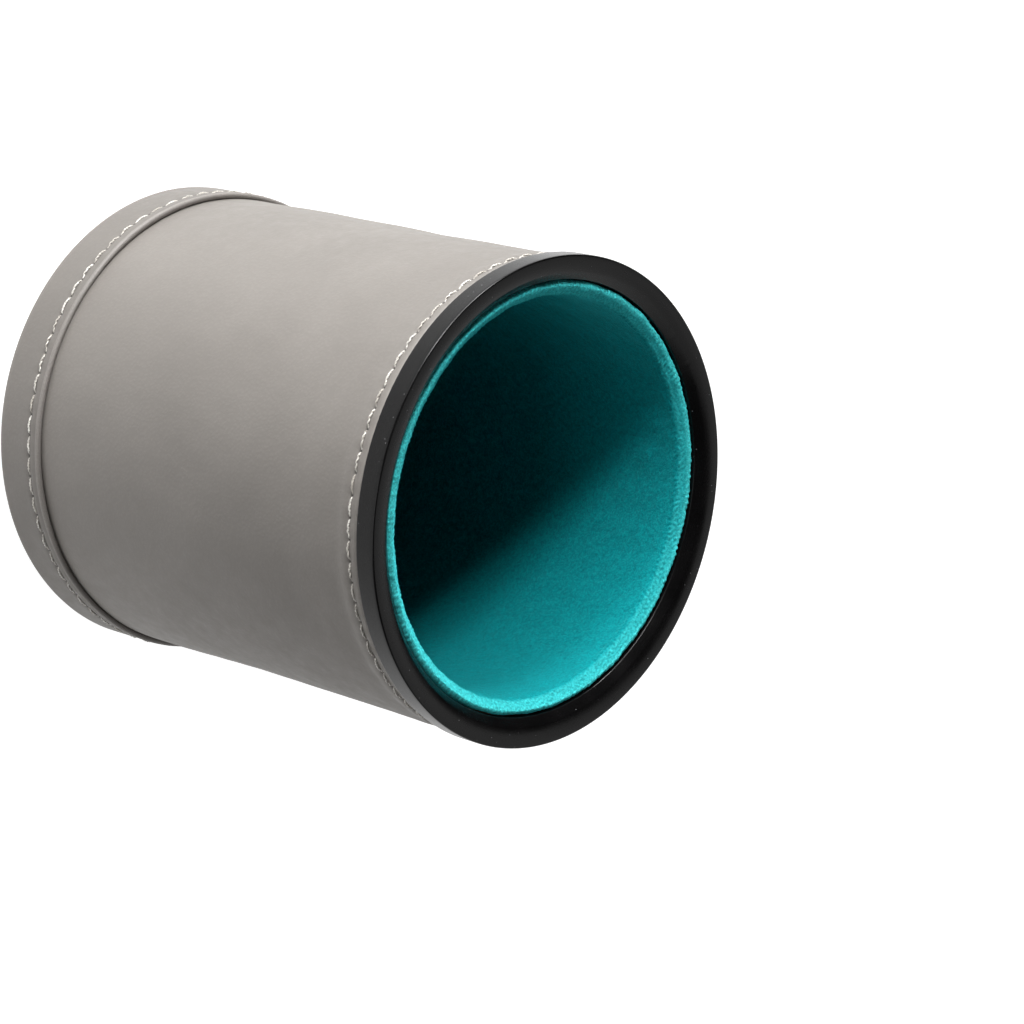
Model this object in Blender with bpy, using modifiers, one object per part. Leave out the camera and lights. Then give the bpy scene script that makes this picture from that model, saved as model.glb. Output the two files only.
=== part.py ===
"""Leather dice cup: a board tube wrapped in stitched leather, with a moulded rim and a velvet lining.

Run it with: blender --background --python part.py
Metres. +Z runs along the cup's axis from base to mouth, and the origin is the centre of the underside.
Every piece is turned about the Z axis, and neighbouring pieces keep a small gap where they touch.
"""

from math import cos, pi, radians, sin

import bpy

MM = 0.001
TURN_STEPS = 64
MERGE_DISTANCE = 0.00001
SHARP_ANGLE = radians(35)

# Overall size
HEIGHT = 95.0 * MM
GAP = 0.3 * MM

# Leather sleeve, with a doubled hem at the mouth
SLEEVE_R = 40.8 * MM
SLEEVE_THICKNESS = 1.0 * MM
HEM_R = 41.15 * MM
HEM_DEPTH = 3.7 * MM
HEM_TAPER = 1.2 * MM
HEM_EDGE_ROUND = 0.3 * MM

# Leather band round the base, turned under the cup
BAND_R = 41.8 * MM
BAND_THICKNESS = 0.7 * MM
BAND_TOP = 10.9 * MM
BAND_CORNER_R = 1.1 * MM
BAND_INNER_EDGE_R = 37.0 * MM
BAND_UNDER_THICKNESS = 0.8 * MM

# Stitching: a thread lying in a groove cut into the leather
THREAD_R = 0.22 * MM
THREAD_SIDES = 8
GROOVE_DEPTH = 0.35 * MM
GROOVE_HALF_WIDTH = THREAD_R + 0.33 * MM
MOUTH_STITCH_BELOW_EDGE = 2.15 * MM
BAND_STITCH_BELOW_EDGE = 2.6 * MM

# Moulded rim ring: a head over the leather's edge and a spigot inside the sleeve.
# Its front has a narrow flat land at the outer edge, then dishes inwards to a bevel.
RING_R = 41.75 * MM
RING_INNER_R = 37.1 * MM
RING_HEAD = 3.95 * MM
RING_OUTER_ROUND = 0.15 * MM
RING_LAND_INNER_R = 41.0 * MM
RING_DISH_MIDDLE_R = 39.8 * MM
RING_DISH_MIDDLE_DROP = 0.12 * MM
RING_BEVEL_R = 38.5 * MM
RING_BEVEL_DROP = 0.5 * MM
RING_INNER_EDGE_DROP = 1.6 * MM
SPIGOT_DEPTH = 6.8 * MM

# Board core
CORE_WALL = 2.0 * MM
BASE_BOARD_THICKNESS = 2.5 * MM
FOAM_THICKNESS = 2.0 * MM

# Lining: velvet on card, bent outwards over a cord at the lip
CARD_WALL = 1.6 * MM
CARD_TOP = 90.4 * MM
CARD_FLOOR_THICKNESS = 1.0 * MM
VELVET_THICKNESS = 1.0 * MM
VELVET_FLOOR_THICKNESS = 1.2 * MM
LIP_BEND_R = 1.2 * MM
LIP_BEND_Z = 91.5 * MM
LIP_TOP_BELOW_RIM = 1.75 * MM
LIP_EDGE_CHAMFER = 0.45 * MM
LIP_EDGE_DROP = 0.3 * MM
LIP_THICKNESS = 0.4 * MM
LIP_CORD_R = 0.5 * MM

# Radii that follow, from the outside in
CORE_R = SLEEVE_R - SLEEVE_THICKNESS - GAP
CORE_INNER_R = CORE_R - CORE_WALL
CARD_R = CORE_INNER_R - GAP
CARD_INNER_R = CARD_R - CARD_WALL
VELVET_R = CARD_INNER_R - GAP
VELVET_INNER_R = VELVET_R - VELVET_THICKNESS
LIP_R = RING_INNER_R - GAP
LIP_BEND_CENTRE_R = VELVET_INNER_R + LIP_BEND_R
LIP_HOLLOW_R = LIP_CORD_R + GAP
LIP_CORD_CENTRE_R = LIP_R - LIP_THICKNESS - LIP_HOLLOW_R

# Heights that follow, from the underside up
BASE_BOARD_Z = BAND_UNDER_THICKNESS + GAP
BASE_BOARD_TOP = BASE_BOARD_Z + BASE_BOARD_THICKNESS
CORE_Z = BASE_BOARD_TOP + GAP
FOAM_TOP = CORE_Z + FOAM_THICKNESS
CARD_FLOOR_Z = FOAM_TOP + GAP
CARD_FLOOR_TOP = CARD_FLOOR_Z + CARD_FLOOR_THICKNESS
LINING_Z = CARD_FLOOR_TOP + GAP
VELVET_FLOOR_TOP = LINING_Z + VELVET_FLOOR_THICKNESS
RING_Z = HEIGHT - RING_HEAD
SPIGOT_Z = RING_Z - SPIGOT_DEPTH
CORE_TOP = SPIGOT_Z - GAP
SLEEVE_TOP = RING_Z - GAP
LIP_Z = CARD_TOP + GAP
LIP_TOP = HEIGHT - LIP_TOP_BELOW_RIM
LIP_CORD_Z = LIP_BEND_Z + 0.1 * MM
MOUTH_STITCH_Z = SLEEVE_TOP - MOUTH_STITCH_BELOW_EDGE
BAND_STITCH_Z = BAND_TOP - BAND_STITCH_BELOW_EDGE

# Colour, roughness and metallic value of each material
FINISHES = {
    "leather": ((0.18, 0.17, 0.16), 0.55, 0.0),
    "thread": ((0.72, 0.70, 0.65), 0.75, 0.0),
    "rim_plastic": ((0.012, 0.012, 0.013), 0.32, 0.0),
    "velvet": ((0.0, 0.32, 0.34), 0.9, 0.0),
    "board": ((0.38, 0.33, 0.27), 0.85, 0.0),
    "card": ((0.55, 0.52, 0.46), 0.85, 0.0),
    "foam": ((0.75, 0.73, 0.66), 0.95, 0.0),
    "cotton": ((0.70, 0.68, 0.62), 0.9, 0.0),
}


def clear_scene():
    for obj in list(bpy.data.objects):
        bpy.data.objects.remove(obj, do_unlink=True)


def make_material(name):
    colour, roughness, metallic = FINISHES[name]
    material = bpy.data.materials.new(name)
    material.use_nodes = True
    shader = material.node_tree.nodes["Principled BSDF"]
    shader.inputs["Base Color"].default_value = (*colour, 1.0)
    shader.inputs["Roughness"].default_value = roughness
    shader.inputs["Metallic"].default_value = metallic
    material.diffuse_color = (*colour, 1.0)
    return material


def arc(centre_r, centre_z, radius, start, end, steps):
    """Points on an arc of the profile; angles in degrees from +X, towards +Z."""
    angles = [radians(start + (end - start) * step / steps) for step in range(steps + 1)]
    return [(centre_r + radius * cos(a), centre_z + radius * sin(a)) for a in angles]


def groove(surface_r, centre_z):
    """A stitching groove in an outer side, read from top to bottom."""
    floor_r = surface_r - GROOVE_DEPTH
    return [
        (surface_r, centre_z + GROOVE_HALF_WIDTH),
        (floor_r, centre_z + GROOVE_HALF_WIDTH),
        (floor_r, centre_z - GROOVE_HALF_WIDTH),
        (surface_r, centre_z - GROOVE_HALF_WIDTH),
    ]


def tube_profile(outer_r, inner_r, low_z, high_z):
    return [(outer_r, high_z), (outer_r, low_z), (inner_r, low_z), (inner_r, high_z)]


def disc_profile(radius, low_z, high_z):
    return [(0.0, high_z), (radius, high_z), (radius, low_z), (0.0, low_z)]


class DiceCup:
    """The collection that holds the cup's pieces, and the empty that they are parented to."""

    def __init__(self):
        self.collection = bpy.data.collections.new("leather_dice_cup")
        bpy.context.scene.collection.children.link(self.collection)
        self.materials = {name: make_material(name) for name in FINISHES}
        self.centre = bpy.data.objects.new("cup_axis", None)
        self.collection.objects.link(self.centre)

    def add(self, name, mesh, material):
        piece = bpy.data.objects.new(name, mesh)
        mesh.materials.clear()
        mesh.materials.append(self.materials[material])
        self.collection.objects.link(piece)
        piece.parent = self.centre
        return piece

    def turned(self, name, profile, material, is_ring):
        """Turns a profile about Z. It runs down its outer side; a ring's profile is a closed loop."""
        count = len(profile)
        edges = [(i, i + 1) for i in range(count - 1)]
        if is_ring:
            edges.append((count - 1, 0))
        outline = bpy.data.meshes.new(name + "_profile")
        outline.from_pydata([(r, 0.0, z) for r, z in profile], edges, [])
        piece = self.add(name, outline, material)
        screw = piece.modifiers.new("turn", "SCREW")
        screw.axis = "Z"
        screw.angle = 2.0 * pi
        screw.steps = TURN_STEPS
        screw.render_steps = TURN_STEPS
        screw.use_merge_vertices = True
        screw.merge_threshold = MERGE_DISTANCE
        depsgraph = bpy.context.evaluated_depsgraph_get()
        solid = bpy.data.meshes.new_from_object(piece.evaluated_get(depsgraph))
        solid.name = name
        piece.modifiers.clear()
        piece.data = solid
        bpy.data.meshes.remove(outline)
        solid.shade_smooth()
        solid.set_sharp_from_angle(angle=SHARP_ANGLE)
        return piece

    def cord_ring(self, name, radius, height, cord_r, sides, material):
        bpy.ops.mesh.primitive_torus_add(
            major_radius=radius,
            minor_radius=cord_r,
            major_segments=TURN_STEPS,
            minor_segments=sides,
        )
        made = bpy.context.active_object
        mesh = made.data
        bpy.data.objects.remove(made)
        mesh.name = name
        mesh.shade_smooth()
        ring = self.add(name, mesh, material)
        ring.location.z = height
        return ring


def build_base(cup):
    """The base board, the leather disc glued under it and the band's turned-under edge around that."""
    cover_r = BAND_INNER_EDGE_R - GAP
    cover_round = 0.2 * MM
    cover = [(0.0, BAND_UNDER_THICKNESS), (cover_r, BAND_UNDER_THICKNESS)]
    cover += arc(cover_r - cover_round, cover_round, cover_round, 0, -90, 2)
    cover.append((0.0, 0.0))
    cup.turned("base_cover", cover, "leather", is_ring=False)
    board = disc_profile(CORE_R, BASE_BOARD_Z, BASE_BOARD_TOP)
    cup.turned("base_board", board, "board", is_ring=False)


def build_core(cup):
    core = tube_profile(CORE_R, CORE_INNER_R, CORE_Z, CORE_TOP)
    cup.turned("core_tube", core, "board", is_ring=True)


def build_sleeve(cup):
    """The leather round the cup, thicker at the mouth where its edge is turned in."""
    inner_r = SLEEVE_R - SLEEVE_THICKNESS
    hem_low = SLEEVE_TOP - HEM_DEPTH
    profile = [(inner_r, SLEEVE_TOP)]
    profile += arc(HEM_R - HEM_EDGE_ROUND, SLEEVE_TOP - HEM_EDGE_ROUND, HEM_EDGE_ROUND, 90, 0, 3)
    profile += groove(HEM_R, MOUTH_STITCH_Z)
    profile += [(HEM_R, hem_low), (SLEEVE_R, hem_low - HEM_TAPER)]
    profile += [(SLEEVE_R, BASE_BOARD_Z), (inner_r, BASE_BOARD_Z)]
    cup.turned("leather_sleeve", profile, "leather", is_ring=True)


def build_band(cup):
    """The leather strip round the base: folded over at the top, turned under the cup at the bottom."""
    inner_r = BAND_R - BAND_THICKNESS
    edge_round = BAND_THICKNESS / 2
    profile = arc(BAND_R - edge_round, BAND_TOP - edge_round, edge_round, 180, 0, 6)
    profile += groove(BAND_R, BAND_STITCH_Z)
    profile += arc(BAND_R - BAND_CORNER_R, BAND_CORNER_R, BAND_CORNER_R, 0, -90, 5)
    profile += [(BAND_INNER_EDGE_R, 0.0), (BAND_INNER_EDGE_R, BAND_UNDER_THICKNESS)]
    profile.append((inner_r, BAND_UNDER_THICKNESS))
    cup.turned("base_band", profile, "leather", is_ring=True)


def build_stitching(cup):
    for name, surface_r, height in (
        ("mouth_stitching", HEM_R, MOUTH_STITCH_Z),
        ("band_stitching", BAND_R, BAND_STITCH_Z),
    ):
        thread_centre_r = surface_r - GROOVE_DEPTH + GAP + THREAD_R
        cup.cord_ring(name, thread_centre_r, height, THREAD_R, THREAD_SIDES, "thread")


def build_rim(cup):
    """The rim ring: its head stands over the leather, its spigot goes down on top of the core tube."""
    profile = arc(RING_R - RING_OUTER_ROUND, HEIGHT - RING_OUTER_ROUND, RING_OUTER_ROUND, 90, 0, 2)
    profile += [(RING_R, RING_Z), (CORE_R, RING_Z), (CORE_R, SPIGOT_Z)]
    profile += [(CORE_INNER_R, SPIGOT_Z), (CORE_INNER_R, LIP_Z), (RING_INNER_R, LIP_Z)]
    profile += [
        (RING_INNER_R, HEIGHT - RING_INNER_EDGE_DROP),
        (RING_BEVEL_R, HEIGHT - RING_BEVEL_DROP),
        (RING_DISH_MIDDLE_R, HEIGHT - RING_DISH_MIDDLE_DROP),
        (RING_LAND_INNER_R, HEIGHT),
    ]
    cup.turned("rim_ring", profile, "rim_plastic", is_ring=True)


def build_lining(cup):
    """The lining: foam under a card floor, a card tube, and velvet over both with a padded lip."""
    foam = disc_profile(CARD_R, CORE_Z, FOAM_TOP)
    cup.turned("foam_pad", foam, "foam", is_ring=False)
    card_floor = disc_profile(CARD_R, CARD_FLOOR_Z, CARD_FLOOR_TOP)
    cup.turned("lining_floor_card", card_floor, "card", is_ring=False)
    card_wall = tube_profile(CARD_R, CARD_INNER_R, LINING_Z, CARD_TOP)
    cup.turned("lining_tube_card", card_wall, "card", is_ring=True)
    velvet_floor = disc_profile(VELVET_R, LINING_Z, VELVET_FLOOR_TOP)
    cup.turned("velvet_floor", velvet_floor, "velvet", is_ring=False)

    wall_z = VELVET_FLOOR_TOP + GAP
    lining = [(LIP_R - LIP_EDGE_CHAMFER, LIP_TOP), (LIP_R, LIP_TOP - LIP_EDGE_DROP)]
    lining += [(LIP_R, LIP_Z), (LIP_R - LIP_THICKNESS, LIP_Z)]
    lining += arc(LIP_CORD_CENTRE_R, LIP_CORD_Z, LIP_HOLLOW_R, 0, 180, 6)
    lining += [(VELVET_R, LIP_Z), (VELVET_R, wall_z), (VELVET_INNER_R, wall_z)]
    lining += arc(LIP_BEND_CENTRE_R, LIP_BEND_Z, LIP_BEND_R, 180, 116, 4)
    cup.turned("velvet_lining", lining, "velvet", is_ring=True)
    cup.cord_ring("lip_cord", LIP_CORD_CENTRE_R, LIP_CORD_Z, LIP_CORD_R, THREAD_SIDES, "cotton")


def main():
    clear_scene()
    cup = DiceCup()
    build_base(cup)
    build_core(cup)
    build_sleeve(cup)
    build_band(cup)
    build_stitching(cup)
    build_rim(cup)
    build_lining(cup)


main()
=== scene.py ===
"""The looks of a leather dice cup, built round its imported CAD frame.

Metres, +Z along the cup's axis from base to mouth. The cup stands upright; the camera is rolled, because
the picture it matches shows the cup lying on its side. Lengths in the mesh code are written in millimetres
and turned to metres when a mesh is made.
"""

import math

import bpy
import numpy as np
from mathutils import Matrix, Vector


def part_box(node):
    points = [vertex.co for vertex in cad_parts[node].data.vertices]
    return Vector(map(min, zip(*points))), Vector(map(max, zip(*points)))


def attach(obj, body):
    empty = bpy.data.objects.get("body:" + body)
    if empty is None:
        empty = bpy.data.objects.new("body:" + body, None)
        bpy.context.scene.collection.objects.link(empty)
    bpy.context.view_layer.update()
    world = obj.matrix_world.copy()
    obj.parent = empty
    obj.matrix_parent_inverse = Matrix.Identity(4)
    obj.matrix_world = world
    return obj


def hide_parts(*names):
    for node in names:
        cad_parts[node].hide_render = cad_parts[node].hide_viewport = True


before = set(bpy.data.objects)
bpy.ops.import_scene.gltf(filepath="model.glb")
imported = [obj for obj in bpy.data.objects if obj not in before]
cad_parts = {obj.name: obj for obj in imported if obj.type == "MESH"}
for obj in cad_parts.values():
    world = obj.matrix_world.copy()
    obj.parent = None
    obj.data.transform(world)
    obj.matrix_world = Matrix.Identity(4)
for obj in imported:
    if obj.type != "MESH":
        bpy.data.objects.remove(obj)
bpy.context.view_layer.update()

MM = 0.001
TAU = 2.0 * math.pi


def cad_size(node):
    """(outer radius, lowest height, highest height) of a turned CAD node, in millimetres."""
    low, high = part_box(node)
    return high.x / MM, low.z / MM, high.z / MM


def middle_height(node):
    _, low, high = cad_size(node)
    return (low + high) / 2


# Places read from the frame, in millimetres
SLEEVE_HEM_R, SLEEVE_LOW, SLEEVE_TOP = cad_size("leather_sleeve")
BAND_R, _, BAND_TOP = cad_size("base_band")
COVER_R, _, COVER_TOP = cad_size("base_cover")
RING_R, SPIGOT_LOW, RING_TOP = cad_size("rim_ring")
LIP_R, LINING_LOW, LIP_TOP = cad_size("velvet_lining")
FLOOR_R, FLOOR_LOW, FLOOR_TOP = cad_size("velvet_floor")
FOAM_R, FOAM_LOW, FOAM_TOP = cad_size("foam_pad")
CORE_R, _, _ = cad_size("core_tube")
CARD_R, _, CARD_TOP = cad_size("lining_tube_card")
MOUTH_STITCH_Z = middle_height("mouth_stitching")
BAND_STITCH_Z = middle_height("band_stitching")

GAP = 0.3  # the air left between a piece and the one it fits round or stands on
HEM_SWELL = 0.35  # how far the doubled hem stands out from the rest of the leather

# Stitching, in millimetres where it is a length
STITCHES = 71
STITCH_TURN = TAU / STITCHES
STITCH_SHARE = 0.93  # the part of the way between two holes that a stitch covers
STEPS_PER_STITCH = 12
LEATHER_STEPS = STITCHES * STEPS_PER_STITCH
THREAD_PLY_R = 0.112
THREAD_PLIES = 2
THREAD_TWIST = 3.2  # turns in one stitch
HOLE_RISE = 0.12  # how far the needle holes are above the row's middle
HOLE_R = 0.30
HOLE_DEPTH = 0.42  # how far below the leather's surface a stitch starts and ends

# The ring's opening and the lining in it are this far off the cup's axis, towards -X
OPENING_SHIFT = 0.33

# Seams, on the side away from the camera for the leather and towards it for the lining
LEATHER_SEAM_TURN = math.radians(90)
VELVET_SEAM_TURN = math.radians(-90)


# ---------------------------------------------------------------- mesh helpers


def arc(centre_r, centre_z, radius, start, end, steps):
    """Points on an arc of a profile; angles in degrees from outwards (+R) towards +Z."""
    angles = np.radians(np.linspace(start, end, steps + 1))
    return [(centre_r + radius * math.cos(a), centre_z + radius * math.sin(a)) for a in angles]


def spaced(points, step):
    """The profile's points with more between them, so that none is further than step from the next."""
    out = [points[0]]
    for (r0, z0), (r1, z1) in zip(points, points[1:]):
        pieces = max(1, math.ceil(math.hypot(r1 - r0, z1 - z0) / step))
        for k in range(1, pieces + 1):
            out.append((r0 + (r1 - r0) * k / pieces, z0 + (z1 - z0) * k / pieces))
    return out


def ripple(phi, z, wavelength, seed, around_r=40.0, waves=24):
    """Smooth unevenness of one wavelength, mostly from -1 to 1, that meets itself round the cup."""
    rng = np.random.default_rng(seed)
    total = 0.0
    for _ in range(waves):
        heading, phase = rng.uniform(0, TAU, 2)
        turns = round(TAU * around_r / wavelength * math.cos(heading))
        along = TAU / wavelength * math.sin(heading)
        total = total + np.cos(turns * phi + along * z + phase)
    return total / math.sqrt(waves)


def hump(x, width):
    """1 at x = 0, falling smoothly to 0 over about two widths either side."""
    return np.exp(-((x / width) ** 2))


def turn_from(phi, turn):
    """The shortest angle from turn to phi, in radians."""
    return (phi - turn + math.pi) % TAU - math.pi


def turned(name, profile, steps, shape=None, closed=True, marks=()):
    """A mesh turned about Z from a profile that runs down its outer side, in millimetres.

    shape(phi, r, z) returns new r and z, and each of marks is (attribute name, function of phi, r, z).
    A profile that isn't closed starts and ends on the axis."""
    rows = np.array(profile, float)
    poles = None
    if not closed:
        poles, rows = (rows[0, 1], rows[-1, 1]), rows[1:-1]
    count = len(rows)
    phi = np.arange(steps) * TAU / steps
    phi_grid = np.broadcast_to(phi, (count, steps))
    r = np.broadcast_to(rows[:, :1], (count, steps))
    z = np.broadcast_to(rows[:, 1:], (count, steps))
    values = {mark: np.asarray(function(phi_grid, r, z)) for mark, function in marks}
    if shape:
        r, z = shape(phi_grid, r, z)
    points = np.stack([r * np.cos(phi_grid), r * np.sin(phi_grid), z], -1).reshape(-1, 3)
    index = np.arange(count * steps).reshape(count, steps)
    upper = index if closed else index[:-1]
    lower = np.roll(index, -1, 0) if closed else index[1:]
    across = [np.roll(grid, -1, 1) for grid in (upper, lower)]
    quads = np.stack([upper, lower, across[1], across[0]], -1).reshape(-1, 4)
    faces = quads.tolist()
    if poles:
        top, bottom = len(points), len(points) + 1
        points = np.vstack([points, [(0, 0, poles[0]), (0, 0, poles[1])]])
        first, last = index[0].tolist(), index[-1].tolist()
        faces += [(top, first[k], first[(k + 1) % steps]) for k in range(steps)]
        faces += [(bottom, last[(k + 1) % steps], last[k]) for k in range(steps)]
    mesh = bpy.data.meshes.new(name)
    mesh.from_pydata((points * MM).tolist(), [], faces)
    for mark, value in values.items():
        flat = np.broadcast_to(value, (count, steps)).reshape(-1)
        flat = np.concatenate([flat, np.zeros(len(points) - len(flat))])
        layer = mesh.attributes.new(mark, "FLOAT", "POINT")
        layer.data.foreach_set("value", flat.astype(np.float32))
    mesh.shade_smooth()
    mesh.set_sharp_from_angle(angle=math.radians(50))
    return show(name, mesh)


def show(name, mesh):
    """An object for the mesh, in the scene."""
    piece = bpy.data.objects.new(name, mesh)
    bpy.context.scene.collection.objects.link(piece)
    return piece


def finish_piece(piece, material, slot, *nodes):
    """The piece gets its material, rides on the cup and stands for its CAD nodes. slot is not used."""
    piece.data.materials.clear()
    piece.data.materials.append(material)
    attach(piece, "root")
    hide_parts(*nodes)
    return piece


# ---------------------------------------------------------------- materials


class Shader:
    """A small helper round one material's nodes. Coordinates are the object's, in millimetres."""

    def __init__(self, name):
        self.material = bpy.data.materials.new(name)
        self.material.use_nodes = True
        self.tree = self.material.node_tree
        self.bsdf = self.tree.nodes["Principled BSDF"]
        coordinates = self.tree.nodes.new("ShaderNodeTexCoord")
        self.place = self.add("ShaderNodeVectorMath", operation="SCALE", Vector=coordinates.outputs["Object"])
        self.place.inputs["Scale"].default_value = 1.0 / MM
        self.place = self.place.outputs["Vector"]

    def add(self, kind, **inputs):
        """A node; keywords are its properties, or its inputs as values or as sockets to link."""
        made = self.tree.nodes.new(kind)
        for key, value in inputs.items():
            if hasattr(made, key):
                setattr(made, key, value)
                continue
            socket = made.inputs[key.replace("_", " ")] if isinstance(key, str) else made.inputs[key]
            self.feed(socket, value)
        return made

    def feed(self, socket, value):
        if isinstance(value, bpy.types.NodeSocket):
            self.tree.links.new(value, socket)
        else:
            socket.default_value = value

    def noise(self, scale, detail=2.0, roughness=0.5, stretch=None, distortion=0.0):
        place = self.place
        if stretch:
            place = self.add("ShaderNodeVectorMath", operation="MULTIPLY", Vector=place)
            place.inputs[1].default_value = stretch
            place = place.outputs["Vector"]
        made = self.add(
            "ShaderNodeTexNoise",
            Vector=place,
            Scale=scale,
            Detail=detail,
            Roughness=roughness,
            Distortion=distortion,
        )
        return made.outputs["Fac"]

    def cells(self, scale, smoothness=0.6, feature="SMOOTH_F1", place=None):
        made = self.add("ShaderNodeTexVoronoi", feature=feature, Vector=place or self.place, Scale=scale)
        if feature == "SMOOTH_F1":
            made.inputs["Smoothness"].default_value = smoothness
        return made.outputs["Distance"]

    def mark(self, name):
        return self.add("ShaderNodeAttribute", attribute_name=name).outputs["Fac"]

    def spread(self, value, low, high, to_low=0.0, to_high=1.0):
        """Maps value from low..high to to_low..to_high, clamped."""
        made = self.add("ShaderNodeMapRange", Value=value)
        made.inputs["From Min"].default_value = low
        made.inputs["From Max"].default_value = high
        made.inputs["To Min"].default_value = to_low
        made.inputs["To Max"].default_value = to_high
        return made.outputs["Result"]

    def maths(self, operation, first, second):
        made = self.tree.nodes.new("ShaderNodeMath")
        made.operation = operation
        self.feed(made.inputs[0], first)
        self.feed(made.inputs[1], second)
        return made.outputs["Value"]

    def mix(self, factor, first, second, blend="MIX"):
        made = self.tree.nodes.new("ShaderNodeMix")
        made.data_type = "RGBA"
        made.blend_type = blend
        for key, value in ((0, factor), (6, first), (7, second)):
            self.feed(made.inputs[key], value)
        return made.outputs[2]

    def bump(self, height, distance_mm, strength=1.0, under=None):
        made = self.add("ShaderNodeBump", Height=height, Strength=strength, Distance=distance_mm * MM)
        if under is not None:
            self.feed(made.inputs["Normal"], under)
        return made.outputs["Normal"]

    def set(self, **inputs):
        for key, value in inputs.items():
            self.feed(self.bsdf.inputs[key.replace("_", " ")], value)


def colour(red, green, blue):
    return (red, green, blue, 1.0)


def leather_material(name, tone):
    """Warm grey leather: pebble grain with fine creases, a little paler where it is bent or scuffed, with a
    painted highlight on the band's folded bead.

    tone scales the whole colour, making one piece a little lighter or darker than another."""
    s = Shader(name)
    wander = s.add("ShaderNodeTexNoise", Vector=s.place, Scale=0.9, Detail=2.0)
    bent = s.add("ShaderNodeVectorMath", operation="MULTIPLY_ADD", Vector=wander.outputs["Color"])
    bent.inputs[1].default_value = (0.7, 0.7, 0.7)
    s.feed(bent.inputs[2], s.place)
    pebbles = s.cells(1.55, 0.5, place=bent.outputs["Vector"])
    creases = s.noise(3.2, detail=4.0, roughness=0.6)
    clouds = s.noise(0.055, detail=3.0, roughness=0.55)
    blotches = s.noise(0.45, detail=3.0)

    base = s.mix(
        s.spread(clouds, 0.32, 0.68),
        colour(0.152, 0.1405, 0.128),
        colour(0.169, 0.1565, 0.143),
    )
    grained = s.mix(s.spread(pebbles, 0.25, 0.62, 0.0, 0.12), base, colour(0.108, 0.099, 0.090))
    mottled = s.mix(s.spread(blotches, 0.35, 0.7, 0.0, 0.10), grained, colour(0.203, 0.188, 0.173))
    # Paler where scuffed, and a painted highlight on the crest of the band's folded bead.
    rubbed_and_highlit = s.maths("MULTIPLY", s.mark("wear_and_highlight"), s.spread(creases, 0.3, 0.75, 0.35, 0.8))
    worn_and_highlit = s.mix(rubbed_and_highlit, mottled, colour(0.30, 0.277, 0.26))
    toned = s.mix(1.0, worn_and_highlit, colour(tone, tone, tone), blend="MULTIPLY")
    # Painted shade: the needle holes are painted near black.
    painted_hole_shade = s.mix(s.mark("painted_hole_shade"), toned, colour(0.02, 0.018, 0.016))
    height = s.maths("MULTIPLY_ADD", creases, 0.45)
    s.feed(height.node.inputs[2], s.spread(pebbles, 0.1, 0.65, 1.0, 0.0))
    s.set(
        Base_Color=painted_hole_shade,
        Roughness=s.spread(blotches, 0.3, 0.7, 0.50, 0.62),
        Normal=s.bump(height, 0.03, 0.5),
        Specular_IOR_Level=0.42,
    )
    return s.material


def thread_material():
    """Off-white twisted thread. Each ply of each stitch has its own tone, pale or tan: partly the thread's
    own tone, partly painted highlight and shade that give the twisted plies bright and dark dashes.
    """
    s = Shader("sewing_thread")
    fibres = s.noise(2.2, detail=3.0, roughness=0.7)
    island = s.add("ShaderNodeNewGeometry").outputs["Random Per Island"]
    # Painted highlight and shade: pale and tan plies twist into bright and dark dashes, partly the thread's
    # own tone.
    base = s.mix(s.spread(island, 0.2, 0.8), colour(0.45, 0.42, 0.375), colour(0.85, 0.83, 0.78))
    shaded = s.mix(s.spread(fibres, 0.4, 0.65, 0.0, 0.7), base, colour(0.27, 0.25, 0.22))
    s.set(Base_Color=shaded, Roughness=0.6, Normal=s.bump(fibres, 0.05, 0.8))
    s.set(Sheen_Weight=0.25, Sheen_Roughness=0.5, Sheen_Tint=colour(1.0, 0.98, 0.94))
    return s.material


def rim_material():
    """Black moulded plastic: semi-gloss, with a fine moulding texture, hairline scratches and dust."""
    s = Shader("rim_black_plastic")
    texture = s.noise(5.0, detail=4.0, roughness=0.6)
    smears = s.noise(0.12, detail=3.0)
    scratches = s.noise(1.2, detail=5.0, roughness=0.75, stretch=(1.0, 1.0, 14.0), distortion=0.6)
    specks = s.cells(0.55, feature="F1")
    dust = s.spread(specks, 0.075, 0.045)
    black, worn_black = colour(0.0026, 0.0025, 0.0026), colour(0.0042, 0.0040, 0.0042)
    base = s.mix(s.spread(smears, 0.3, 0.7), black, worn_black)
    dusty = s.mix(s.maths("MULTIPLY", dust, 0.35), base, colour(0.25, 0.25, 0.26))
    handled = s.spread(smears, 0.3, 0.7, 0.20, 0.28)
    roughness = s.maths("ADD", handled, s.spread(scratches, 0.56, 0.72, 0.0, 0.14))
    normal = s.bump(texture, 0.006, 0.5, s.bump(scratches, 0.01, 0.35))
    s.set(Base_Color=dusty, Roughness=roughness, Normal=normal, Specular_IOR_Level=0.26)
    return s.material


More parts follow.
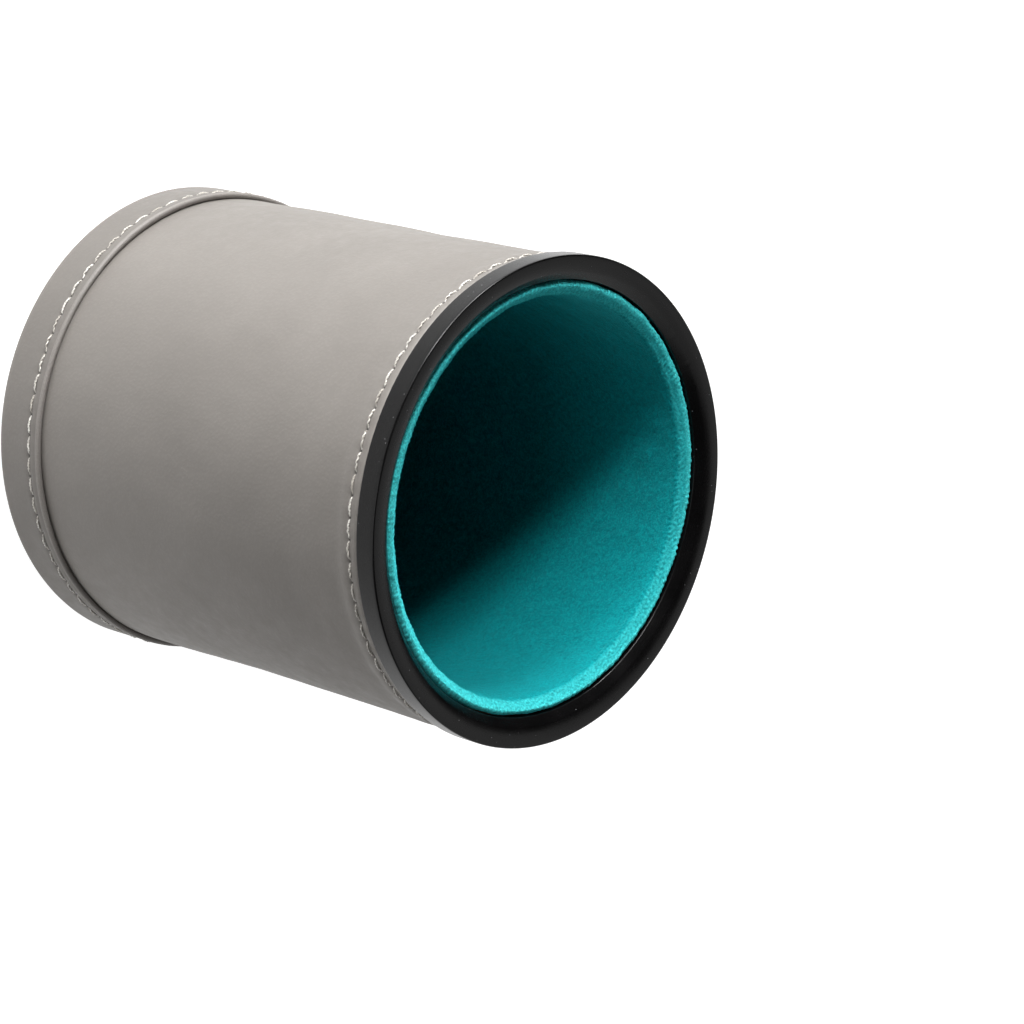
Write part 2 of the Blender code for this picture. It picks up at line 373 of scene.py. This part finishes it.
def velvet_material(name):
    """Teal velvet: a short pile that lies this way and that, brighter where it is seen end on. At the lip the
    pile is painted a paler teal, partly its own paler tips and partly a painted highlight.
    """
    s = Shader(name)
    pile = s.noise(2.5, detail=4.0, roughness=0.75)
    lay = s.noise(1.3, detail=4.0, roughness=0.65, distortion=0.3)
    strokes = s.noise(0.10, detail=2.0, distortion=0.8)
    deep, bright = colour(0.0006, 0.165, 0.190), colour(0.0018, 0.285, 0.318)
    base = s.mix(s.spread(lay, 0.30, 0.70), deep, bright)
    stroked = s.mix(s.spread(strokes, 0.35, 0.65, 0.0, 0.30), base, colour(0.0015, 0.205, 0.226))
    tips = s.mix(s.spread(pile, 0.42, 0.66, 0.0, 0.8), stroked, colour(0.004, 0.44, 0.475))
    # Painted highlight at the lip: the turned-out pile is partly paler of itself and partly painted brighter
    # where light falls on it.
    splayed_and_highlit = s.maths("MULTIPLY", s.mark("splay_and_highlight"), s.spread(pile, 0.40, 0.60, 0.35, 1.0))
    tips = s.mix(splayed_and_highlit, tips, colour(0.10, 0.90, 0.91))
    height = s.maths("MULTIPLY_ADD", lay, 0.8)
    s.feed(height.node.inputs[2], pile)
    s.set(Base_Color=tips, Roughness=0.95, Normal=s.bump(height, 0.16, 0.9), Specular_IOR_Level=0.1)
    s.set(Sheen_Weight=0.9, Sheen_Roughness=0.42, Sheen_Tint=colour(0.10, 0.95, 1.0))
    return s.material


def plain_fibre_material(name, light, dark, scale, relief, stretch=None):
    """Board, card, foam and cotton, for the pieces inside the walls."""
    s = Shader(name)
    fibres = s.noise(scale, detail=5.0, roughness=0.65, stretch=stretch)
    flecks = s.cells(scale * 0.5)
    base = s.mix(s.spread(fibres, 0.3, 0.7), colour(*dark), colour(*light))
    flecked = s.mix(s.spread(flecks, 0.5, 0.8, 0.0, 0.3), base, colour(*dark))
    s.set(Base_Color=flecked, Roughness=0.88, Normal=s.bump(fibres, relief, 0.7))
    return s.material


def floor_material():
    """Plain and pale. It glows softly behind the cup, where the picture's background is white."""
    s = Shader("studio_floor")
    haze = s.noise(0.004, detail=2.0)
    away = s.add("ShaderNodeVectorMath", operation="SUBTRACT", Vector=s.place)
    away.inputs[1].default_value = GLOW_MIDDLE
    spread = s.add("ShaderNodeVectorMath", operation="LENGTH", Vector=away.outputs["Vector"])
    glow = s.add("ShaderNodeMapRange", interpolation_type="SMOOTHERSTEP", Value=spread.outputs["Value"])
    for end, distance, strength in (("Min", GLOW_FULL, FLOOR_GLOW), ("Max", GLOW_END, FAR_GLOW)):
        glow.inputs["From " + end].default_value = distance
        glow.inputs["To " + end].default_value = strength
    s.set(Base_Color=s.mix(haze, colour(0.41, 0.41, 0.41), colour(0.43, 0.43, 0.43)), Roughness=0.8)
    s.set(Emission_Color=colour(1.0, 1.0, 1.0), Emission_Strength=glow.outputs["Result"])
    return s.material


# ---------------------------------------------------------------- leather


def hole_turn(phi):
    """How far phi is round from the nearest needle hole, in radians."""
    return (phi / STITCH_TURN - np.round(phi / STITCH_TURN)) * STITCH_TURN


def painted_hole_shade(stitch_z, surface_r):
    """A mark that is 1 in the needle holes of a row of stitches, where shade is painted."""

    def mark(phi, r, z):
        across = hole_turn(phi) * surface_r
        distance = np.hypot(across, z - stitch_z - HOLE_RISE)
        return np.clip(1.25 - distance / HOLE_R, 0, 1) * (r > surface_r - 0.6)

    return mark


def stitch_relief(phi, z, stitch_z, surface_r):
    """How far the thread pulls the leather in, in millimetres: a shallow trough with a pit at each hole."""
    across = hole_turn(phi) * surface_r
    trough = 0.13 * hump(z - stitch_z, 0.55)
    pit = 0.24 * hump(np.hypot(across, z - stitch_z - HOLE_RISE), 0.34)
    pucker = 0.035 * np.cos(phi * STITCHES) * hump(z - stitch_z, 1.5)
    return -(trough + pit + pucker)


def leather_unevenness(phi, z, seed):
    broad = ripple(phi, z, 46, seed)
    medium = ripple(phi, z, 17, seed + 1)
    fine = ripple(phi, z, 5.5, seed + 2, waves=32)
    return 0.10 * broad + 0.035 * medium + 0.012 * fine


def make_sleeve(material):
    """The leather round the cup. Its mouth edge is turned in, so it swells and rolls over at the top."""
    body_r = SLEEVE_HEM_R - HEM_SWELL
    inner_r = CORE_R + GAP
    edge_round = 0.75
    hem_low = SLEEVE_TOP - 3.4
    outer = arc(SLEEVE_HEM_R - edge_round, SLEEVE_TOP - edge_round, edge_round, 90, 0, 6)
    fine = spaced(outer + [(SLEEVE_HEM_R, hem_low - 3.0)], 0.2)
    body = spaced([(SLEEVE_HEM_R, hem_low - 3.0), (SLEEVE_HEM_R, BAND_TOP + 2.0)], 1.0)[1:]
    foot = spaced([(SLEEVE_HEM_R, BAND_TOP + 2.0), (SLEEVE_HEM_R, BAND_TOP - 2.0)], 0.4)[1:]
    hidden = [(SLEEVE_HEM_R, SLEEVE_LOW + GAP), (inner_r, SLEEVE_LOW + GAP)]
    profile = fine + body + foot + hidden + spaced([hidden[1], (inner_r, SLEEVE_TOP)], 12)[1:]

    def shape(phi, r, z):
        outside = np.clip((r - inner_r) / (body_r - inner_r), 0, 1)
        swell = 1 / (1 + np.exp(-(z - hem_low + 0.9) / 0.45))
        move = (swell - 1) * (SLEEVE_HEM_R - body_r)
        move = move + leather_unevenness(phi, z, 11) * np.clip((SLEEVE_TOP - z) / 3, 0.25, 1)
        move = move + stitch_relief(phi, z, MOUTH_STITCH_Z, SLEEVE_HEM_R)
        crease_z = hem_low - 5.5 + 2.2 * np.sin(phi * 2 + 0.6) + 0.8 * np.sin(phi * 5)
        move = move + 0.10 * hump(z - crease_z, 1.6) * (0.6 + 0.4 * np.sin(phi * 3 + 1))
        seam = turn_from(phi, LEATHER_SEAM_TURN) * body_r
        move = move - 0.30 * hump(seam, 0.22) + 0.07 * hump(seam - 1.4, 1.1)
        tuck = 0.05 * hump(z - BAND_TOP, 0.6)
        return r + (move - tuck) * outside, z

    def wear_and_highlight(phi, r, z):
        # On the sleeve this mark is scuffing only: the top edge and the seam.
        edge = hump(z - SLEEVE_TOP, 0.55) * (r > inner_r + 0.2)
        return 0.9 * edge + 0.3 * hump(turn_from(phi, LEATHER_SEAM_TURN) * body_r - 0.5, 0.35)

    marks = [("wear_and_highlight", wear_and_highlight), ("painted_hole_shade", painted_hole_shade(MOUTH_STITCH_Z, SLEEVE_HEM_R))]
    sleeve = turned("leather_sleeve_skin", profile, LEATHER_STEPS, shape, marks=marks)
    return finish_piece(sleeve, material, "leather", "leather_sleeve")


def make_band(material):
    """The strip round the base: a folded bead along its top, a turned-under and pleated lower edge."""
    inner_r = SLEEVE_HEM_R - HEM_SWELL + 0.03
    bead_r = 0.55
    bead_z = BAND_TOP - bead_r
    fold = [(inner_r, BAND_TOP - 0.25), (inner_r + 0.15, BAND_TOP - 0.08)]
    bead_centre = BAND_R + 0.05 - bead_r
    corner = 1.15
    under_r = COVER_R + GAP
    profile = spaced(
        [(inner_r, bead_z - 1.2)]
        + fold
        + arc(bead_centre, bead_z, bead_r, 96, 0, 14)
        + [(BAND_R - 0.11, bead_z - 0.3), (BAND_R - 0.06, bead_z - 0.55), (BAND_R - 0.01, bead_z - 0.9)]
        + [(BAND_R, BAND_STITCH_Z + 0.9), (BAND_R, BAND_STITCH_Z - 1.4)],
        0.2,
    )
    profile += spaced([(BAND_R, BAND_STITCH_Z - 1.4), (BAND_R, corner)], 0.5)[1:]
    profile += arc(BAND_R - corner, corner, corner, 0, -90, 8)[1:]
    profile += spaced([(BAND_R - corner, 0.0), (under_r, 0.0)], 0.3)[1:]
    profile += [(under_r, COVER_TOP), (inner_r, COVER_TOP), (inner_r, bead_z - 1.6)]

    def shape(phi, r, z):
        outside = (r > inner_r + 0.2) * np.clip((z - 0.2) / 1.0, 0, 1)
        move = 0.55 * leather_unevenness(phi, z, 31)
        move = move + stitch_relief(phi, z, BAND_STITCH_Z, BAND_R)
        move = move - 0.28 * hump(turn_from(phi, LEATHER_SEAM_TURN) * BAND_R, 0.22)
        wave = 0.05 * ripple(phi, 0 * z, 30, 41) * (z > bead_z - 1.5)
        below = np.clip((corner - z) / corner, 0, 1) * (r > under_r - 0.01) * (z < COVER_TOP - 0.05)
        pleats = np.abs(np.sin(phi * 29 + 0.8 * np.sin(phi * 3))) ** 0.6
        depth = np.clip((BAND_R - corner + 0.5 - r) / 2.0, 0, 1) * below
        return r + move * outside, z + wave + 0.16 * (1 - pleats) * depth

    def wear_and_highlight(phi, r, z):
        # Painted highlight: the bead's crest is painted paler where light catches it. The lower corner is
        # paler from scuffing.
        bead = 0.9 * hump(z - BAND_TOP + 0.3, 0.45)
        lower = 0.5 * hump(np.hypot(r - BAND_R + 0.3, z - 0.3), 0.8)
        return bead + lower

    marks = [("wear_and_highlight", wear_and_highlight), ("painted_hole_shade", painted_hole_shade(BAND_STITCH_Z, BAND_R))]
    band = turned("base_band_skin", profile, LEATHER_STEPS, shape, marks=marks)
    return finish_piece(band, material, "leather", "base_band")


def make_cover(material):
    """The leather disc under the base, with softly rounded edges."""
    edge = 0.25
    profile = [(0.0, COVER_TOP)] + spaced([(2.0, COVER_TOP), (COVER_R - edge, COVER_TOP)], 6)
    profile += arc(COVER_R - edge, COVER_TOP - edge, edge, 90, 0, 4)[1:]
    profile += arc(COVER_R - edge, edge, edge, 0, -90, 4)
    profile += spaced([(COVER_R - edge, 0.0), (2.0, 0.0)], 1.5)[1:] + [(0.0, 0.0)]

    def shape(phi, r, z):
        low = z < COVER_TOP / 2
        dents = (1 + ripple(phi, r, 24, 51, around_r=20)) * np.clip(r / 12, 0, 1)
        lift = 0.05 * dents * np.clip((COVER_R - r) / 6, 0, 1)
        lift = lift + 0.10 * hump(r - (COVER_R - 1.0), 0.35)
        return r, z + low * np.clip(lift, 0, 0.2)

    def wear_and_highlight(phi, r, z):
        return 0.4 * hump(r - COVER_R, 0.5) * (z < COVER_TOP / 2)

    cover = turned("base_cover_skin", profile, 256, shape, closed=False, marks=[("wear_and_highlight", wear_and_highlight)])
    return finish_piece(cover, material, "leather", "base_cover")


# ---------------------------------------------------------------- stitching


def stitch_line(index, surface_r, stitch_z, rng):
    """The middle line of one stitch: up out of a hole, along the leather and down into the next."""
    lean, sag, high = rng.normal(0.06, 0.06), rng.normal(0.10, 0.04), rng.normal(0.05, 0.03)
    t = np.linspace(0.0, 1.0, 19)
    lift = np.clip(np.sin(math.pi * t), 0, None) ** 0.7
    phi = (index + 0.5 + (t - 0.5) * STITCH_SHARE) * STITCH_TURN
    r = surface_r - HOLE_DEPTH + (HOLE_DEPTH + high) * lift
    z = stitch_z + HOLE_RISE - sag * np.sin(math.pi * t) ** 0.6 + lean * (t - 0.5)
    return t, np.stack([r * np.cos(phi), r * np.sin(phi), z], -1)


def ply_tube(centre, outward, along, t, phase, twist):
    """One ply of the thread: a thin tube wound round the stitch's middle line."""
    side = np.cross(along, outward)
    angle = phase + twist * t
    fill = np.clip(np.sin(math.pi * t) * 4, 0.3, 1.0)[:, None]
    offset = (np.cos(angle)[:, None] * outward + np.sin(angle)[:, None] * side) * THREAD_PLY_R * 0.8
    middle = centre + offset * fill
    ring = np.arange(7) * TAU / 7
    round_it = np.cos(ring)[None, :, None] * outward[:, None] + np.sin(ring)[None, :, None] * side[:, None]
    return middle[:, None] + round_it * THREAD_PLY_R * fill[:, None]


def make_stitches(name, node, surface_r, stitch_z, material, seed):
    """A row of lock stitches, each of two twisted plies, from needle hole to needle hole."""
    rng = np.random.default_rng(seed)
    points, faces, start = [], [], 0
    for index in range(STITCHES):
        t, centre = stitch_line(index, surface_r, stitch_z, rng)
        along = np.gradient(centre, axis=0)
        along /= np.linalg.norm(along, axis=1)[:, None]
        outward = centre * (1, 1, 0)
        outward /= np.linalg.norm(outward, axis=1)[:, None]
        outward -= (outward * along).sum(1)[:, None] * along
        outward /= np.linalg.norm(outward, axis=1)[:, None]
        phase = rng.uniform(0, TAU)
        for ply in range(THREAD_PLIES):
            twist = rng.normal(THREAD_TWIST, 0.3) * TAU
            tube = ply_tube(centre, outward, along, t, phase + ply * math.pi, twist)
            rings, sides = tube.shape[:2]
            grid = start + np.arange(rings * sides).reshape(rings, sides)
            around = np.roll(grid, -1, 1)
            quads = np.stack([grid[:-1], around[:-1], around[1:], grid[1:]], -1).reshape(-1, 4)
            faces += quads.tolist() + [grid[0, ::-1].tolist(), grid[-1].tolist()]
            points.append(tube.reshape(-1, 3))
            start += rings * sides
    mesh = bpy.data.meshes.new(name)
    mesh.from_pydata((np.vstack(points) * MM).tolist(), [], faces)
    mesh.shade_smooth()
    return finish_piece(show(name, mesh), material, "thread", node)


# ---------------------------------------------------------------- rim ring


def off_centre(phi):
    """How far the ring's opening and the lining are moved outwards at phi: they sit a little to one side."""
    return -OPENING_SHIFT * np.cos(phi)


def make_rim(material):
    """The moulded ring: side wall, dished front face, bevelled inner edge and the spigot below."""
    inner_r = LIP_R + GAP
    outer_round = 0.28
    head_low = SLEEVE_TOP + GAP
    shoulder = CARD_TOP + GAP
    spigot_inner = CARD_R + GAP
    outer = arc(RING_R - outer_round, RING_TOP - outer_round, outer_round, 90, 0, 6)
    outer += [(RING_R, head_low + 0.25)] + arc(RING_R - 0.2, head_low + 0.2, 0.2, 0, -90, 3)
    inner_edge = arc(inner_r + 0.25, RING_TOP - 1.75, 0.25, 180, 125, 4)
    bevel_r, bevel_z = 38.5, RING_TOP - 0.5
    dish = []
    for r in np.linspace(bevel_r + 0.12, 41.0, 14):
        dish.append((r, RING_TOP - 0.5 * ((41.0 - r) / 2.5) ** 1.95))
    profile = spaced(outer, 0.6)
    profile += [(CORE_R, head_low), (CORE_R, SPIGOT_LOW)]
    profile += [(spigot_inner, SPIGOT_LOW), (spigot_inner, shoulder)]
    profile += spaced([(inner_r, shoulder)] + inner_edge, 0.6)
    profile += [(bevel_r - 0.1, bevel_z - 0.075), (bevel_r, bevel_z - 0.015)] + dish

    def shape(phi, r, z):
        inner_part = np.clip((40.2 - r) / 1.6, 0, 1) * (z > shoulder + 0.1)
        nicks = 0.02 * np.clip(ripple(phi, r, 2.2, 91, waves=32) - 0.5, 0, 1) * hump(r - bevel_r, 0.3)
        return r + off_centre(phi) * inner_part, z - nicks

    ring = turned("rim_ring_moulding", profile, 720, shape)
    return finish_piece(ring, material, "rim_plastic", "rim_ring")


# ---------------------------------------------------------------- lining


def make_lining(material):
    """Velvet down the inside wall, bent outwards over the cord at the lip and tucked in under the rim."""
    back_r = FLOOR_R
    wall_r = back_r - 1.0
    low = CARD_TOP + GAP
    bend_r, bend_z = 1.2, 91.5
    tuck = 0.9
    crest_r, crest_z = LIP_R + 0.05 - tuck, LIP_TOP + 0.05
    bend = arc(wall_r + bend_r, bend_z, bend_r, 180, 118, 8)
    middle = ((bend[-1][0] + crest_r) / 2, (bend[-1][1] + crest_z) / 2 + 0.09)
    top = arc(crest_r, crest_z - tuck, tuck, 90, 0, 6)
    profile = spaced(top + [(LIP_R + 0.05, low), (back_r, low)], 0.25)
    profile += spaced([(back_r, low), (back_r, LINING_LOW)], 8)[1:] + [(wall_r, LINING_LOW)]
    profile += spaced([(wall_r, LINING_LOW), (wall_r, bend_z - 1.0)], 0.6)[1:]
    profile += spaced([(wall_r, bend_z - 1.0)] + bend + [middle, (crest_r, crest_z)], 0.2)[1:-1]
    heart_r, heart_z = (wall_r + LIP_R) / 2, bend_z

    def shape(phi, r, z):
        inner_side = np.clip((back_r - 0.1 - r) / 0.5, 0, 1)
        lip = np.clip((z - bend_z + 1.0) / 1.0, 0, 1)
        nap = 0.05 * ripple(phi, z, 7, 61, around_r=36) + 0.03 * ripple(phi, z, 2.2, 62, 36, 32)
        nap = nap + 0.06 * ripple(phi, z + r, 0.9, 64, 36, 40) * lip
        sway = 0.10 * ripple(phi, z, 38, 63, around_r=36)
        seam = turn_from(phi, VELVET_SEAM_TURN) * wall_r
        groove = 0.35 * hump(seam, 0.35)
        reach = np.maximum(np.hypot(r - heart_r, z - heart_z), 0.6)
        push = (nap + 0.4 * sway) * lip / reach
        new_r = r + (r - heart_r) * push + (1 - lip) * inner_side * (nap + sway + groove)
        new_z = z + (z - heart_z) * push
        moved = np.where(z > low - 0.01, 1.0, inner_side * np.clip((z - 50) / 40, 0, 1))
        return np.minimum(new_r, LIP_R + 0.15) + off_centre(phi) * moved, new_z

    # The lip's paler teal: partly the opened pile's own colour, partly a painted highlight. How much of the
    # roll is painted paler changes round the cup, following where the light falls.
    def splay_and_highlight(phi, r, z):
        upper = np.clip((z - bend_z - 0.2) / 0.6, 0, 1)
        inner_highlight_share = 0.55 - 0.25 * np.cos(phi - math.radians(110))
        return upper * (inner_highlight_share + (1 - inner_highlight_share) * np.clip((r - 35.3) / 0.7, 0, 1))

    lining = turned("velvet_lining_pile", profile, 1200, shape, marks=[("splay_and_highlight", splay_and_highlight)])
    finish_piece(lining, material, "velvet", "velvet_lining")
    return lining


def make_floor_disc(material):
    """The velvet disc at the bottom of the cup, a little raised in the middle by the foam under it."""
    profile = [(0.0, FLOOR_TOP)] + spaced([(0.8, FLOOR_TOP), (FLOOR_R - 0.4, FLOOR_TOP)], 0.7)
    profile += arc(FLOOR_R - 0.4, FLOOR_TOP - 0.4, 0.4, 90, 0, 4)[1:]
    profile += spaced([(FLOOR_R, FLOOR_LOW), (0.8, FLOOR_LOW)], 6) + [(0.0, FLOOR_LOW)]

    def shape(phi, r, z):
        upper = z > FLOOR_TOP - 0.5
        nap = 0.05 * ripple(phi, r, 6, 71, around_r=18) + 0.04 * ripple(phi, r, 2.5, 72, 18, 32)
        sink = 0.25 * np.clip(r / FLOOR_R, 0, 1) ** 2
        return r, z + upper * (nap * np.clip(r / 5, 0, 1) - sink)

    disc = turned("velvet_floor_pile", profile, 300, shape, closed=False)
    finish_piece(disc, material, "velvet", "velvet_floor")
    return disc


def make_foam(material):
    """The foam disc under the floor, with a soft, slightly uneven edge."""
    edge = (FOAM_TOP - FOAM_LOW) / 2 - 0.1
    middle = (FOAM_TOP + FOAM_LOW) / 2
    profile = [(0.0, FOAM_TOP)] + spaced([(3.0, FOAM_TOP), (FOAM_R - edge, FOAM_TOP)], 4)
    profile += arc(FOAM_R - edge, middle, edge, 80, -80, 8)
    profile += spaced([(FOAM_R - edge, FOAM_LOW), (3.0, FOAM_LOW)], 4) + [(0.0, FOAM_LOW)]

    def shape(phi, r, z):
        return r - 0.15 * (1 + ripple(phi, z, 12, 81)) * (r > FOAM_R - 2), z

    foam = turned("foam_pad_soft", profile, 192, shape, closed=False)
    finish_piece(foam, material, "foam", "foam_pad")
    return foam


# ---------------------------------------------------------------- camera, floor and lights

CAMERA_AT = Vector((0.0, -448.9, 493.0)) * MM
CAMERA_AIM = Vector((3.0, 0.0, 86.27)) * MM
CAMERA_ROLL = math.radians(103.944)
CAMERA_LENS = 126.77
SENSOR = 36.0

FLOOR_GLOW, FAR_GLOW = 0.95, 0.32
GLOW_MIDDLE = (5.0, 140.0, 0.0)  # millimetres, as are the next two
GLOW_FULL, GLOW_END = 175.0, 320.0
SOFTBOXES = (  # name, turn, elevation, metres away, size in metres, watts
    ("low_key", 190, 8, 1.2, 0.22, 10.2),
    ("key", 215, 31, 0.5, 0.09, 1.35),
    ("near_wash", 210, 14, 0.6, 0.35, 3.1),
    ("side_wash", 230, 14, 0.6, 0.35, 0.7),
    ("low_wash", 290, 15, 0.35, 0.2, 0.22),
    ("broad_back", 60, 30, 1.2, 1.6, 5.4),
    ("broad_fill", 20, 15, 1.2, 1.6, 1.1),
)


def make_camera():
    camera = bpy.data.cameras.new("camera")
    camera.lens, camera.sensor_width = CAMERA_LENS, SENSOR
    camera.clip_start, camera.clip_end = 0.01, 20.0
    holder = bpy.data.objects.new("camera", camera)
    bpy.context.scene.collection.objects.link(holder)
    aimed = (CAMERA_AIM - CAMERA_AT).to_track_quat("-Z", "Y").to_matrix()
    rolled = aimed @ Matrix.Rotation(CAMERA_ROLL, 3, "Z")
    holder.matrix_world = Matrix.Translation(CAMERA_AT) @ rolled.to_4x4()
    bpy.context.scene.camera = holder


def make_floor():
    size = 6.0
    bpy.ops.mesh.primitive_grid_add(x_subdivisions=8, y_subdivisions=8, size=size)
    floor = bpy.context.active_object
    floor.name = "studio_floor"
    floor.location.z = -0.00002
    floor.data.materials.append(floor_material())


def add_softbox(name, turn, elevation, distance, size, watts):
    """A square softbox aimed at the cup; turn is measured from +X towards +Y, both angles in degrees."""
    light = bpy.data.lights.new(name, "AREA")
    light.shape, light.size, light.energy = "SQUARE", size, watts
    holder = bpy.data.objects.new(name, light)
    bpy.context.scene.collection.objects.link(holder)
    aim = Vector((0.0, 0.0, RING_TOP / 2 * MM))
    turn, elevation = math.radians(turn), math.radians(elevation)
    flat = math.cos(elevation)
    away = Vector((flat * math.cos(turn), flat * math.sin(turn), math.sin(elevation)))
    holder.location = aim + away * distance
    holder.rotation_mode = "QUATERNION"
    holder.rotation_quaternion = away.to_track_quat("Z", "Y")
    holder.visible_camera = False


def make_lights():
    world = bpy.data.worlds.new("studio")
    world.use_nodes = True
    world.node_tree.nodes["Background"].inputs["Color"].default_value = colour(1.0, 1.0, 1.0)
    world.node_tree.nodes["Background"].inputs["Strength"].default_value = 0.0
    bpy.context.scene.world = world
    for softbox in SOFTBOXES:
        add_softbox(*softbox)
    bpy.context.scene.view_settings.view_transform = "Standard"


def main():
    make_camera()
    leather = leather_material("grey_leather", 1.03)
    # The band and base cover are given a darker tone than the sleeve.
    base_leather = leather_material("grey_leather_base", 0.88)
    thread = thread_material()
    make_sleeve(leather)
    make_band(base_leather)
    make_cover(base_leather)
    make_stitches("mouth_stitches", "mouth_stitching", SLEEVE_HEM_R, MOUTH_STITCH_Z, thread, 5)
    make_stitches("band_stitches", "band_stitching", BAND_R, BAND_STITCH_Z, thread, 6)
    make_rim(rim_material())
    velvet = velvet_material("teal_velvet")
    make_lining(velvet)
    make_floor_disc(velvet)
    make_foam(plain_fibre_material("foam", (0.78, 0.75, 0.67), (0.62, 0.59, 0.50), 1.5, 0.1))
    board = plain_fibre_material("grey_board", (0.42, 0.37, 0.30), (0.30, 0.26, 0.21), 1.2, 0.03, (1, 1, 0.3))
    card = plain_fibre_material("pale_card", (0.60, 0.57, 0.50), (0.48, 0.45, 0.39), 1.6, 0.02, (1, 1, 0.4))
    cotton = plain_fibre_material("cotton_cord", (0.74, 0.72, 0.66), (0.55, 0.53, 0.48), 3.0, 0.08)
    for node, material in (
        ("core_tube", board),
        ("base_board", board),
        ("lining_tube_card", card),
        ("lining_floor_card", card),
        ("lip_cord", cotton),
    ):
        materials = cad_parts[node].data.materials
        materials.clear()
        materials.append(material)
    make_floor()
    make_lights()


main()
